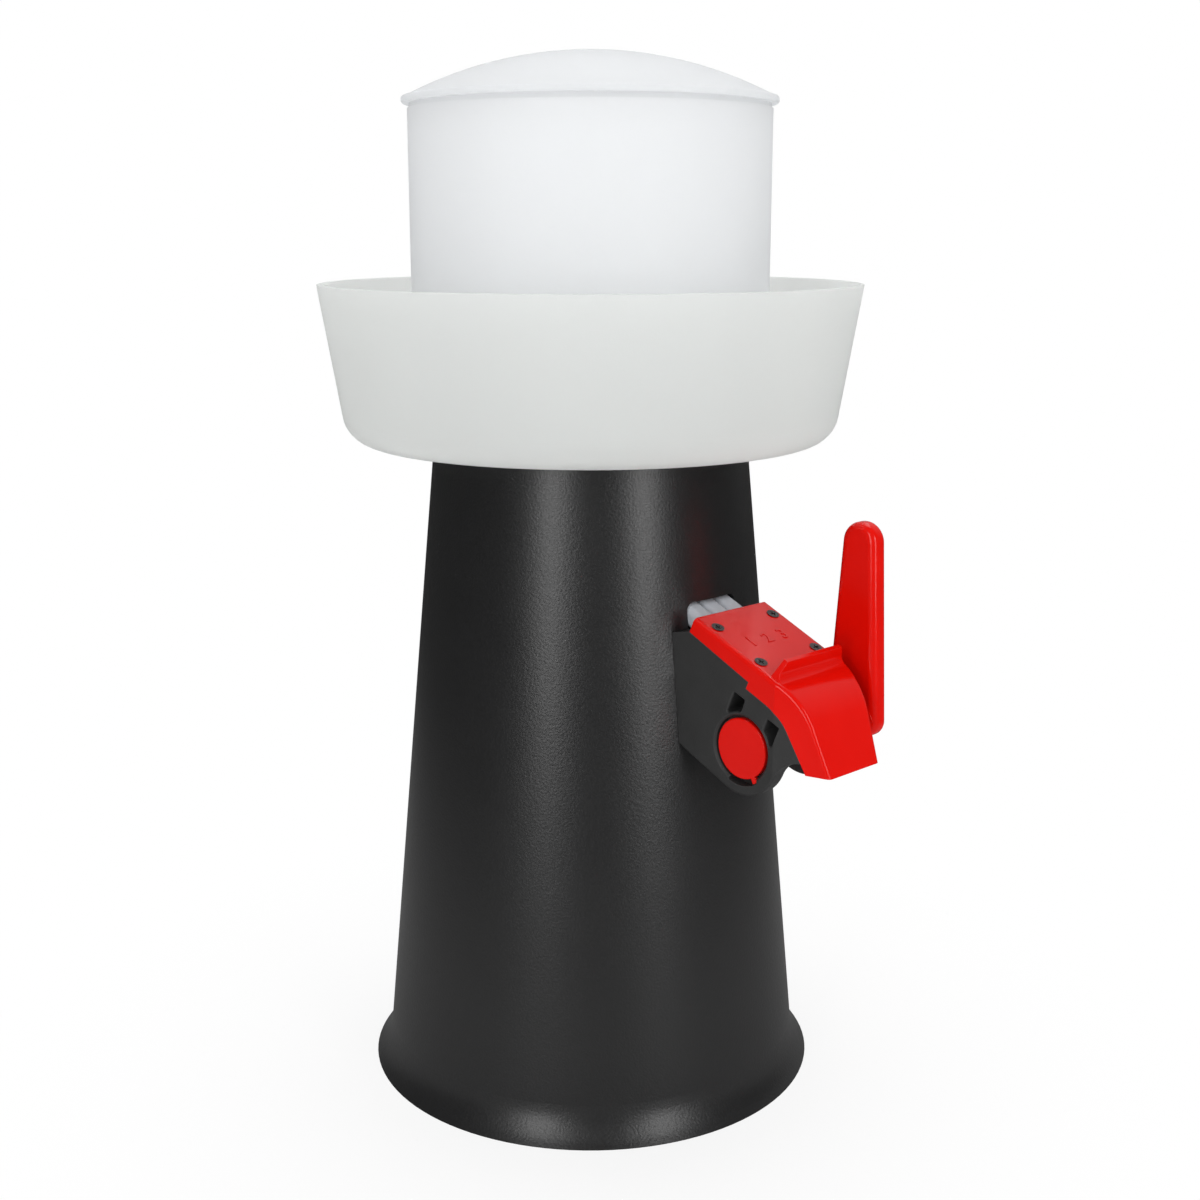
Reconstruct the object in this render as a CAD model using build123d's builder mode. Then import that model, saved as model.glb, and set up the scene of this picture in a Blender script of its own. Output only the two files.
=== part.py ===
from build123d import *
import os
from math import acos, atan2, cos, hypot, radians, sin, sqrt, tan

os.makedirs("parts", exist_ok=True)

# Column: a tapered tube with a flared foot, a seat at its top and a ledge above the foot
column_height = 297.2
column_top_radius = 71.2
column_foot_radius = 97.3
flare_height = 17.0
foot_radius = 105.0
column_wall = 2.5
seat_width = 5.0
seat_thickness = 2.5
ledge_width = 12.0
ledge_thickness = 4.0

# Foot: a pad, a cover with posts, and the screws through the posts
pad_thickness = 2.5
pad_margin = 5.0
base_thickness = 3.0
post_radius = 6.0
post_count = 4

# Screws: shank and head sizes of the four kinds
m3_radius = 1.45
m3_head_radius = 2.8
m3_length = 14.0
m4_radius = 1.95
m4_head_radius = 3.8
m4_pan_height = 2.6
tap_screw_length = 22.0
lever_screw_length = 14.0
thread_clearance = 0.03
hole_clearance = 0.3
recess_arm_share = 1.1
recess_width_share = 0.24
recess_depth = 1.1
sink_angle = 90.0

# Bowl
bowl_rim_radius = 121.1
bowl_base_radius = 109.6
bowl_height = 69.7
bowl_corner = 14.0
bowl_wall = 2.4
bowl_rim_round = 0.9
rib_height = 3.0
rib_thickness = 2.0
seat_clearance = 0.2

# Tank, its neck, gasket and ring nut
tank_radius = 79.7
tank_wall = 2.4
tank_floor = 3.0
tank_height = 140.3
tank_bottom_round = 2.0
neck_wall = 4.0
neck_length = 17.0
neck_clearance = 0.5
gasket_thickness = 1.5
gasket_width = 12.0
ring_nut_width = 10.8
ring_nut_margin = 1.5
ring_nut_height = 8.0
ring_nut_notches = 8
notch_width = 6.0
notch_depth = 2.5

# Lid
lid_rim_radius = 82.3
lid_rim_height = 3.0
lid_step_height = 2.1
lid_step_inset = 0.8
lid_shoulder_inset = 1.9
lid_rise = 19.4
lid_wall = 2.2
plug_depth = 9.0
plug_clearance = 0.4
dimple_radius = 13.0
dimple_depth = 1.3
lid_rim_round = 1.2

# Divider
vane_thickness = 2.0
vane_clearance = 0.2
vane_lid_gap = 1.0
vane_hub_radius = 3.0

# Outlets in the tank floor, one for each chamber: left, back and right
chamber_count = 3
outlet_first_angle = 210.0
outlet_margin = 3.4
outlet_flange_radius = 9.0
outlet_flange = 2.5
stem_radius = 5.0
stem_clearance = 0.1
stem_shoulder = 1.0
seal_thickness = 1.5
outlet_nut_radius = 8.6
outlet_nut_height = 5.0
spigot_length = 15.0
spigot_clearance = 0.05
spigot_wall = 0.8

# Hoses: round inside the column, pressed into a flat band where they leave it, and squeezed shut in the tap
hose_radius = 4.0
hose_bore = 2.5
hose_pitch = 9.9
hose_drop_share = 0.683
hose_bend = 22.0
hose_merge = 31.5
hose_merge_bend = 32.0
hose_gap = 0.1
hose_run = 13.0
band_half_width = 4.85
band_half_height = 4.3
band_corner = 3.0
band_start = 20.0
band_full = 14.0
flat_thickness = 3.6
flat_corner = 1.6
flat_length = 8.0
flat_bore_half_width = 4.0
flat_bore_half_height = 0.2
flatten_length = 4.0
flatten_angle = 20.0
clip_width = 6.0
clip_thickness = 0.9
clip_setback = 4.0
clip_ear = 3.0

# Tap cover: a sloping plate that bends down into the spout
tap_width = 46.0
plate_angle = 23.2
plate_drop = 65.3
plate_standoff = 10.3
plate_length = 48.3
plate_thickness = 3.3
skirt_back = 7.0
skirt_front = 7.9
skirt_step = 36.5
spout_depth = 11.2
spout_radius = 30.7
spout_angle = 45.5
spout_inner_angle = 40.5
spout_run = 26.0
spout_drop = 55.9
spout_side_wall = 1.8
taper_angle = 16.0
cover_edge_round = 2.0
fin_place = 46.0
fin_height = 8.2
fin_root = 3.4
fin_tip = 2.2
fin_blend = 4.0
fin_foot_half_width = 21.0
fin_tip_half_width = 17.4
cover_screw_back = 9.0
cover_screw_front = 35.2
cover_screw_half_pitch = 17.6
cover_screw_proud = 0.4
channel_clearance = 0.15

# Tap body
body_top_drop = 9.2
body_bottom_drop = 57.3
body_round = 1.2
boss_radius = 20.0
tongue_run = 14.3
body_seat_gap = 0.05
core_wall = 4.5
core_height = 34.0
under_wall = 6.0
under_back = 16.0
pocket_near = 6.7
pocket_far = 13.2
pocket_top = 16.2
pocket_bottom = 26.0
pocket_rim = 15.8
pocket_depth = 10.0
pocket_round = 0.8
pocket_bevel = 0.5
tap_screw_half_pitch = 19.0
tap_screw_low_drop = 49.9
tap_screw_high_drop = 23.9
saddle_half_width = 24.0
saddle_margin = 6.0
saddle_thickness = 3.0

# Shaft, pinch bar and lever
cam_place = 44.8
cam_depth = 36.4
shaft_radius = 13.0
running_clearance = 0.05
lever_travel = 50.0
bar_stroke = 4.0
bar_thickness = 10.0
bar_shoulder = 16.0
bar_foot_half = 14.5
bar_nose = 2.5
slide_clearance = 0.15
contact_gap = 0.3
cam_end_gap = 0.3
cam_heel = 8.0
involute_steps = 4
disc_recess = 0.5
disc_round = 0.6
bore_mouth_radius = 14.2
bore_mouth_depth = 3.2
bore_mouth_bevel = 0.9
stop_radius = 15.4
stop_clearance = 0.4
stop_half_angle = 5.0
stop_rest_angle = 31.0
stop_play_angle = 0.5
stop_thickness = 1.6
stop_well = 5.5
lever_gap = 0.8
lever_standoff = 5.7
lever_thickness = 9.0
lever_round = 3.4
lever_length = 91.0
lever_lean = 16.9
lever_top_radius = 8.8
lever_hub_radius = 15.0
lever_heel_radius = 7.0
lever_heel_reach = 22.4
lever_heel_height = 6.0
lever_root_radius = 5.0
lever_root_reach = 7.0
lever_neck_round = 4.0
wedge_reach = 28.6
wedge_angle = 24.8
wedge_half_width = 5.5
tang_side = 14.0
tang_clearance = 0.05
tang_setback = 5.0
head_sink = 0.4
overrun = 1.0

# Places worked out from the sizes above
taper = (column_foot_radius - column_top_radius) / (column_height - flare_height)


def column_radius(height):
    return column_top_radius + taper * (column_height - height)


plate_back_height = column_height - plate_drop
body_top = plate_back_height - body_top_drop
body_bottom = plate_back_height - body_bottom_drop
tap_screw_low = plate_back_height - tap_screw_low_drop
tap_screw_high = plate_back_height - tap_screw_high_drop
bowl_floor = column_height + bowl_wall
tank_base = bowl_floor + gasket_thickness
chamber_floor = tank_base + tank_floor
tank_top = tank_base + tank_height
tank_bore = tank_radius - tank_wall
seat_bore = column_top_radius - seat_width
rib_bore = seat_bore - seat_clearance - rib_thickness
neck_radius = rib_bore - ring_nut_margin - ring_nut_width
outlet_ring = neck_radius - neck_wall - outlet_nut_radius - outlet_margin
post_ring = column_foot_radius - column_wall - ledge_width / 2
post_top = flare_height
base_bottom = pad_thickness
pad_radius = foot_radius - column_wall - pad_margin
hose_top = tank_base - outlet_nut_height - stem_shoulder
plate_back = column_radius(plate_back_height) + plate_standoff
hose_depth = plate_thickness + hose_gap + band_half_height
channel_floor = hose_depth + band_half_height + channel_clearance
channel_half = hose_pitch + band_half_width + channel_clearance
tap_half = tap_width / 2
bar_top = plate_thickness + hose_gap + flat_thickness + contact_gap
cam_rate = bar_stroke / radians(lever_travel)
cam_rest = sqrt(shaft_radius**2 - cam_rate**2)
bar_bottom = cam_depth - cam_rest - contact_gap
bar_half = channel_half - slide_clearance

# The tap's own side view: u runs down the plate from its back edge, v stands square on the plate
slope = Plane(
    origin=(0, -plate_back, plate_back_height),
    x_dir=(0, -cos(radians(plate_angle)), -sin(radians(plate_angle))),
    z_dir=(-1, 0, 0),
)
# The plain side view: the first axis points out of the column's front, the second one up
side = Plane(origin=(0, 0, 0), x_dir=(0, -1, 0), z_dir=(-1, 0, 0))


def on_slope(x, u, v):
    return slope.from_local_coords(Vector(u, v, -x))


def across_slope(x, u, v):
    return Plane(origin=on_slope(x, u, v), x_dir=(1, 0, 0), z_dir=slope.x_dir)


def from_side(reach, height):
    local = slope.to_local_coords(Vector(0, -reach, height))
    return (local.X, local.Y)


def on_bend(radius, angle):
    return (plate_length + radius * sin(radians(angle)), radius * cos(radians(angle)) - spout_radius)


def past_bend(radius, angle, run):
    start = on_bend(radius, angle)
    return (start[0] + run * cos(radians(angle)), start[1] - run * sin(radians(angle)))


cam_centre = on_slope(0, cam_place, -cam_depth)
cam_reach = -cam_centre.Y
cam_height = cam_centre.Z


def make_screw(radius, head_radius, head_height, length):
    """A screw that hangs from the origin: head, shank below it, and a cross recess in its top."""
    pan_head = [(head_radius, -head_height), (radius, -head_height)]
    sunk_head = [(radius, radius - head_radius)]
    under_head = pan_head if head_height else sunk_head
    with BuildPart() as screw:
        with BuildSketch(Plane.XZ):
            with BuildLine():
                Polyline((0, 0), (head_radius, 0), *under_head, (radius, -length), (0, -length), close=True)
            make_face()
        revolve(axis=Axis.Z)
        with BuildSketch():
            for turn in (0, 90):
                Rectangle(
                    recess_arm_share * head_radius,
                    recess_width_share * head_radius,
                    rotation=turn,
                )
        extrude(amount=-recess_depth, mode=Mode.SUBTRACT)
    return screw.part


cover_screw = make_screw(m3_radius, m3_head_radius, 0, m3_length)
base_screw = make_screw(m4_radius, m4_head_radius, 0, post_top + ledge_thickness - base_bottom)
tap_screw = make_screw(m4_radius, m4_head_radius, m4_pan_height, tap_screw_length)
lever_bolt = make_screw(m4_radius, m4_head_radius, m4_pan_height, lever_screw_length)

# Column shell
with BuildPart() as column_shell:
    with BuildSketch(Plane.XZ):
        with BuildLine():
            outside = Line((column_top_radius, column_height), (column_foot_radius, flare_height))
            flare = TangentArc(outside @ 1, (foot_radius, 0), tangent=outside % 1)
            Line(flare @ 1, (foot_radius - column_wall, 0))
            inside_foot = (column_foot_radius - column_wall, flare_height)
            TangentArc(inside_foot, (foot_radius - column_wall, 0), tangent=outside % 1)
            seat_under = column_height - seat_thickness
            Polyline(
                inside_foot,
                (column_radius(seat_under) - column_wall, seat_under),
                (seat_bore, seat_under),
                (seat_bore, column_height),
                outside @ 0,
            )
        make_face()
        ledge_bore = column_foot_radius - column_wall - ledge_width
        ledge_edge = column_radius(flare_height + ledge_thickness) - column_wall / 2
        with Locations(((ledge_bore + ledge_edge) / 2, flare_height + ledge_thickness / 2)):
            Rectangle(ledge_edge - ledge_bore, ledge_thickness)
    revolve(axis=Axis.Z)
    slot_place = column_radius(plate_back_height) - column_wall / 2
    slot_sag = slot_place - sqrt(slot_place**2 - channel_half**2)
    slot_run = (plate_back - hose_depth * sin(radians(plate_angle)) - slot_place) / cos(radians(plate_angle))
    slot_centre = on_slope(0, -slot_run, -hose_depth)
    slot_rise = (column_wall + slot_sag) * tan(radians(plate_angle))
    slot_half_height = band_half_height / cos(radians(plate_angle)) + slot_rise
    with BuildSketch(Plane.XZ):
        with Locations((0, slot_centre.Z)):
            RectangleRounded(
                2 * (channel_half + hole_clearance),
                2 * (slot_half_height + hole_clearance),
                hose_radius,
            )
        with Locations((0, (tap_screw_low + tap_screw_high) / 2)):
            with GridLocations(2 * tap_screw_half_pitch, tap_screw_high - tap_screw_low, 2, 2):
                Circle(m4_radius + hole_clearance)
    extrude(amount=foot_radius, mode=Mode.SUBTRACT)
    with BuildSketch(Plane.XY.offset(flare_height)):
        with PolarLocations(post_ring, post_count, start_angle=45):
            Circle(m4_radius + thread_clearance)
    extrude(amount=ledge_thickness, mode=Mode.SUBTRACT)
column_shell.part.label = "column_shell"
export_step(column_shell.part, "parts/column_shell.step")

# Foot pad
with BuildPart() as foot_pad:
    with BuildSketch():
        Circle(pad_radius)
    extrude(amount=pad_thickness)
foot_pad.part.label = "foot_pad"
export_step(foot_pad.part, "parts/foot_pad.step")

# Base cover with its posts
with BuildPart() as base_cover:
    with BuildSketch(Plane.XY.offset(base_bottom)):
        Circle(pad_radius - base_thickness)
    extrude(amount=base_thickness)
    with BuildSketch(Plane.XY.offset(base_bottom)):
        with PolarLocations(post_ring, post_count, start_angle=45):
            Circle(post_radius)
    extrude(amount=post_top - base_bottom)
    with Locations(Plane(origin=(0, 0, base_bottom), x_dir=(1, 0, 0), z_dir=(0, 0, -1))):
        with PolarLocations(post_ring, post_count, start_angle=45):
            CounterSinkHole(
                m4_radius + thread_clearance,
                m4_head_radius + thread_clearance,
                counter_sink_angle=sink_angle,
            )
base_cover.part.label = "base_cover"
export_step(base_cover.part, "parts/base_cover.step")

# Base screws
with BuildPart() as base_screws:
    with Locations(Plane(origin=(0, 0, base_bottom), x_dir=(1, 0, 0), z_dir=(0, 0, -1))):
        with PolarLocations(post_ring, post_count, start_angle=45):
            add(base_screw)
base_screws.part.label = "base_screws"
export_step(base_screws.part, "parts/base_screws.step")

# Bowl
with BuildPart() as bowl:
    with BuildSketch(Plane.XZ):
        with BuildLine():
            FilletPolyline(
                (neck_radius + neck_clearance, column_height),
                (bowl_base_radius, column_height),
                (bowl_rim_radius, column_height + bowl_height),
                radius=bowl_corner,
            )
            offset(amount=bowl_wall, side=Side.LEFT)
        make_face()
    revolve(axis=Axis.Z)
    with BuildSketch(Plane.XY.offset(column_height)):
        Circle(rib_bore + rib_thickness)
        Circle(rib_bore, mode=Mode.SUBTRACT)
    extrude(amount=-rib_height)
    fillet(bowl.edges().group_by(Axis.Z)[-1], bowl_rim_round)
bowl.part.label = "bowl"
export_step(bowl.part, "parts/bowl.step")

# Tank gasket
with BuildPart() as tank_gasket:
    with BuildSketch(Plane.XY.offset(bowl_floor)):
        Circle(neck_radius + neck_clearance + gasket_width)
        Circle(neck_radius + neck_clearance, mode=Mode.SUBTRACT)
    extrude(amount=gasket_thickness)
tank_gasket.part.label = "tank_gasket"
export_step(tank_gasket.part, "parts/tank_gasket.step")

# Tank shell with its neck
outlet_angles = [outlet_first_angle - 360 * number / chamber_count for number in range(chamber_count)]
with BuildPart() as tank_shell:
    with BuildSketch(Plane.XY.offset(tank_base)):
        Circle(tank_radius)
    extrude(amount=tank_height)
    fillet(tank_shell.edges().group_by(Axis.Z)[0], tank_bottom_round)
    with BuildSketch(Plane.XY.offset(chamber_floor)):
        Circle(tank_bore)
    extrude(amount=tank_height, mode=Mode.SUBTRACT)
    with BuildSketch(Plane.XY.offset(tank_base)):
        Circle(neck_radius)
        Circle(neck_radius - neck_wall, mode=Mode.SUBTRACT)
    extrude(amount=-neck_length)
    with BuildSketch(Plane.XY.offset(tank_base)):
        for angle in outlet_angles:
            with PolarLocations(outlet_ring, 1, start_angle=angle):
                Circle(stem_radius + stem_clearance)
    extrude(amount=tank_floor, mode=Mode.SUBTRACT)
tank_shell.part.label = "tank_shell"
export_step(tank_shell.part, "parts/tank_shell.step")

# Ring nut on the tank's neck
with BuildPart() as tank_nut:
    with BuildSketch(Plane.XY.offset(column_height)):
        Circle(neck_radius + ring_nut_width)
        Circle(neck_radius + thread_clearance, mode=Mode.SUBTRACT)
        with PolarLocations(neck_radius + ring_nut_width, ring_nut_notches):
            Rectangle(2 * notch_depth, notch_width, mode=Mode.SUBTRACT)
    extrude(amount=-ring_nut_height)
tank_nut.part.label = "tank_nut"
export_step(tank_nut.part, "parts/tank_nut.step")

# Divider: three vanes from a common hub
with BuildPart() as tank_divider:
    with BuildSketch(Plane.XY.offset(chamber_floor)):
        Circle(vane_hub_radius)
        vane_reach = tank_bore - vane_clearance
        vane_angle = outlet_first_angle + 180 / chamber_count
        with PolarLocations(vane_reach / 2, chamber_count, start_angle=vane_angle):
            Rectangle(vane_reach, vane_thickness)
    extrude(amount=tank_top - plug_depth - vane_lid_gap - chamber_floor)
tank_divider.part.label = "tank_divider"
export_step(tank_divider.part, "parts/tank_divider.step")

# Lid: a dome on a rim, with a plug that drops into the tank
with BuildPart() as lid:
    with BuildSketch(Plane.XZ):
        plug_radius = tank_bore - plug_clearance
        rim_under = tank_top + lid_step_height
        rim_top = rim_under + lid_rim_height
        dome_top = rim_top + lid_rise
        shoulder = lid_rim_radius - lid_shoulder_inset
        with BuildLine():
            Polyline(
                (plug_radius - lid_wall, tank_top),
                (plug_radius - lid_wall, tank_top - plug_depth),
                (plug_radius, tank_top - plug_depth),
                (plug_radius, tank_top),
                (tank_radius - lid_step_inset, tank_top),
                (tank_radius - lid_step_inset, rim_under),
                (lid_rim_radius, rim_under),
                (lid_rim_radius, rim_top),
                (shoulder, rim_top),
            )
            TangentArc((0, dome_top), (shoulder, rim_top), tangent=(1, 0))
            Line((0, dome_top), (0, dome_top - lid_wall))
            TangentArc((0, dome_top - lid_wall), (plug_radius - lid_wall, tank_top), tangent=(1, 0))
        make_face()
    revolve(axis=Axis.Z)
    dome_radius = (shoulder**2 + lid_rise**2) / (2 * lid_rise)
    dimple_edge = dome_top - dome_radius + sqrt(dome_radius**2 - dimple_radius**2)
    with BuildSketch(Plane.XZ):
        with BuildLine():
            TangentArc((0, dome_top - dimple_depth), (dimple_radius, dimple_edge), tangent=(1, 0))
            Polyline((dimple_radius, dimple_edge), (dimple_radius, dome_top), (0, dome_top))
            Line((0, dome_top), (0, dome_top - dimple_depth))
        make_face()
    revolve(axis=Axis.Z, mode=Mode.SUBTRACT)
    rim_edges = lid.edges().filter_by(GeomType.CIRCLE).filter_by_position(Axis.Z, rim_under, rim_top)
    fillet(rim_edges.sort_by(SortBy.RADIUS)[-2:], lid_rim_round)
lid.part.label = "lid"
export_step(lid.part, "parts/lid.step")

# Outlets, hoses and what holds them together, chamber by chamber
hose_places = (-hose_pitch, 0, hose_pitch)
outlet_spots = [
    Vector(outlet_ring * cos(radians(angle)), outlet_ring * sin(radians(angle)), 0)
    for angle in outlet_angles
]
spigot_radius = hose_bore - spigot_clearance


def make_outlet(spot):
    """A flanged stem through the tank floor that ends in a spigot for the hose."""
    seat = Plane(origin=(spot.X, spot.Y, chamber_floor + seal_thickness))
    stem_length = seal_thickness + tank_floor + outlet_nut_height + stem_shoulder
    with BuildPart() as outlet:
        with BuildSketch(seat):
            Circle(outlet_flange_radius)
        extrude(amount=outlet_flange)
        with BuildSketch(seat):
            Circle(stem_radius)
        extrude(amount=-stem_length)
        with BuildSketch(seat):
            Circle(spigot_radius)
        extrude(amount=-stem_length - spigot_length)
        with BuildSketch(seat.offset(outlet_flange)):
            Circle(spigot_radius - spigot_wall)
        extrude(amount=-outlet_flange - stem_length - spigot_length, mode=Mode.SUBTRACT)
    return outlet.part


def draw_band():
    RectangleRounded(2 * band_half_width, 2 * band_half_height, band_corner)


def draw_flat():
    RectangleRounded(2 * band_half_width, flat_thickness, flat_corner)


def make_hose(spot, x):
    """A hose from its spigot down and out of the column, under the plate and round the spout."""
    flat_start = cam_place - flat_length / 2
    flat_end = cam_place + flat_length / 2
    band_end = flat_start - flatten_length
    flat_depth = plate_thickness + hose_gap + flat_thickness / 2
    bend_radius = spout_radius - hose_depth
    merge = on_slope(x, -hose_merge, -hose_depth)
    along_bend = slope.x_dir.rotate(Axis.X, flatten_angle)
    bend_start = slope.offset(-x).from_local_coords(Vector(*on_bend(bend_radius, flatten_angle), 0))
    bend_plane = Plane(origin=bend_start, x_dir=(1, 0, 0), z_dir=along_bend)
    with BuildPart() as hose:
        with BuildLine() as inner_run:
            FilletPolyline(
                (spot.X, spot.Y, hose_top),
                (spot.X, spot.Y, hose_top - hose_drop_share * (hose_top - merge.Z)),
                merge,
                on_slope(x, -band_start, -hose_depth),
                radius=[hose_bend, hose_merge_bend],
            )
        with BuildSketch(Plane(origin=inner_run.line @ 0, z_dir=inner_run.line % 0)):
            Circle(hose_radius)
        sweep(path=inner_run.line)
        with BuildSketch(across_slope(x, -band_start, -hose_depth)):
            Circle(hose_radius)
        with BuildSketch(across_slope(x, -band_full, -hose_depth)):
            draw_band()
        loft()
        with BuildSketch(across_slope(x, -band_full, -hose_depth)):
            draw_band()
        extrude(amount=band_full + band_end)
        with BuildSketch(across_slope(x, band_end, -hose_depth)):
            draw_band()
        with BuildSketch(across_slope(x, flat_start, -flat_depth)):
            draw_flat()
        loft()
        with BuildSketch(across_slope(x, flat_start, -flat_depth)):
            draw_flat()
        extrude(amount=flat_length)
        with BuildSketch(across_slope(x, flat_end, -flat_depth)):
            draw_flat()
        with BuildSketch(bend_plane):
            draw_band()
        loft()
        with BuildLine(slope.offset(-x)) as outer_run:
            CenterArc(
                (plate_length, -spout_radius),
                bend_radius,
                90 - flatten_angle,
                flatten_angle - spout_angle,
            )
            Line(on_bend(bend_radius, spout_angle), past_bend(bend_radius, spout_angle, hose_run))
        with BuildSketch(bend_plane):
            draw_band()
        sweep(path=outer_run.wires()[0])
        with BuildSketch(Plane(origin=inner_run.line @ 0, z_dir=inner_run.line % 0)):
            Circle(hose_bore)
        sweep(path=inner_run.line, mode=Mode.SUBTRACT)
        with BuildSketch(across_slope(x, -band_start, -hose_depth)):
            Circle(hose_bore)
        extrude(amount=band_start + band_end, mode=Mode.SUBTRACT)
        with BuildSketch(across_slope(x, band_end, -hose_depth)):
            Circle(hose_bore)
        with BuildSketch(across_slope(x, flat_start, -flat_depth)):
            Ellipse(flat_bore_half_width, flat_bore_half_height)
        loft(mode=Mode.SUBTRACT)
        with BuildSketch(across_slope(x, flat_end, -flat_depth)):
            Ellipse(flat_bore_half_width, flat_bore_half_height)
        with BuildSketch(bend_plane):
            Circle(hose_bore)
        loft(mode=Mode.SUBTRACT)
        with BuildSketch(bend_plane):
            Circle(hose_bore)
        sweep(path=outer_run.wires()[0], mode=Mode.SUBTRACT)
    return hose.part


for number, (spot, place) in enumerate(zip(outlet_spots, hose_places), start=1):
    outlet_part = make_outlet(spot)
    outlet_part.label = f"outlet_{number}"
    export_step(outlet_part, f"parts/outlet_{number}.step")
    hose_part = make_hose(spot, place)
    hose_part.label = f"hose_{number}"
    export_step(hose_part, f"parts/hose_{number}.step")

# Sealing washers under the outlet flanges
with BuildPart() as outlet_seals:
    with BuildSketch(Plane.XY.offset(chamber_floor)):
        with Locations(*outlet_spots):
            Circle(outlet_flange_radius)
            Circle(stem_radius + stem_clearance, mode=Mode.SUBTRACT)
    extrude(amount=seal_thickness)
outlet_seals.part.label = "outlet_seals"
export_step(outlet_seals.part, "parts/outlet_seals.step")

# Nuts below the tank floor
with BuildPart() as outlet_nuts:
    with BuildSketch(Plane.XY.offset(tank_base)):
        with Locations(*outlet_spots):
            RegularPolygon(outlet_nut_radius, 6)
            Circle(stem_radius + thread_clearance, mode=Mode.SUBTRACT)
    extrude(amount=-outlet_nut_height)
outlet_nuts.part.label = "outlet_nuts"
export_step(outlet_nuts.part, "parts/outlet_nuts.step")

# Band clips round the hoses on their spigots
with BuildPart() as hose_clips:
    with BuildSketch(Plane.XY.offset(hose_top - clip_setback)):
        clip_radius = hose_radius + spigot_clearance
        with Locations(*outlet_spots):
            Circle(clip_radius + clip_thickness)
        with Locations(*[spot + Vector(0, clip_radius + clip_ear / 2, 0) for spot in outlet_spots]):
            Rectangle(clip_ear, clip_ear)
        with Locations(*outlet_spots):
            Circle(clip_radius, mode=Mode.SUBTRACT)
    extrude(amount=-clip_width)
hose_clips.part.label = "hose_clips"
export_step(hose_clips.part, "parts/hose_clips.step")

# Channel for the three hoses, side by side under the plate and down the spout
plate_top = Plane(origin=slope.origin, x_dir=(-1, 0, 0), z_dir=slope.y_dir)
bend_centre = (plate_length, -spout_radius)
tongue_radius = spout_radius - spout_depth
tongue_bend = on_bend(tongue_radius, spout_inner_angle)
taper_reach = plate_back + plate_length * cos(radians(plate_angle))
taper_end = taper_reach + spout_radius


def cut_taper(half_width):
    """The two wedges, seen from above, that narrow the spout towards its front."""
    edge = tap_half + overrun
    front_half = half_width - spout_radius * tan(radians(taper_angle))
    for way in (-1, 1):
        Polygon(
            (way * half_width, -taper_reach),
            (way * edge, -taper_reach),
            (way * edge, -taper_end),
            (way * front_half, -taper_end),
            align=None,
        )


with BuildPart() as hose_channel:
    with BuildSketch(slope):
        with BuildLine():
            ceiling = spout_radius - plate_thickness
            floor = spout_radius - channel_floor
            Line((-band_start, -plate_thickness), (plate_length, -plate_thickness))
            CenterArc(bend_centre, ceiling, 90, -spout_angle)
            Polyline(
                on_bend(ceiling, spout_angle),
                past_bend(ceiling, spout_angle, spout_run),
                past_bend(floor, spout_angle, spout_run),
                on_bend(floor, spout_angle),
            )
            CenterArc(bend_centre, floor, 90 - spout_angle, spout_angle)
            Polyline(
                (plate_length, -channel_floor),
                (-band_start, -channel_floor),
                (-band_start, -plate_thickness),
            )
        make_face()
    extrude(amount=channel_half, both=True)
    with BuildSketch():
        cut_taper(tap_half - spout_side_wall / cos(radians(taper_angle)))
    extrude(amount=plate_back_height, mode=Mode.SUBTRACT)

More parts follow.
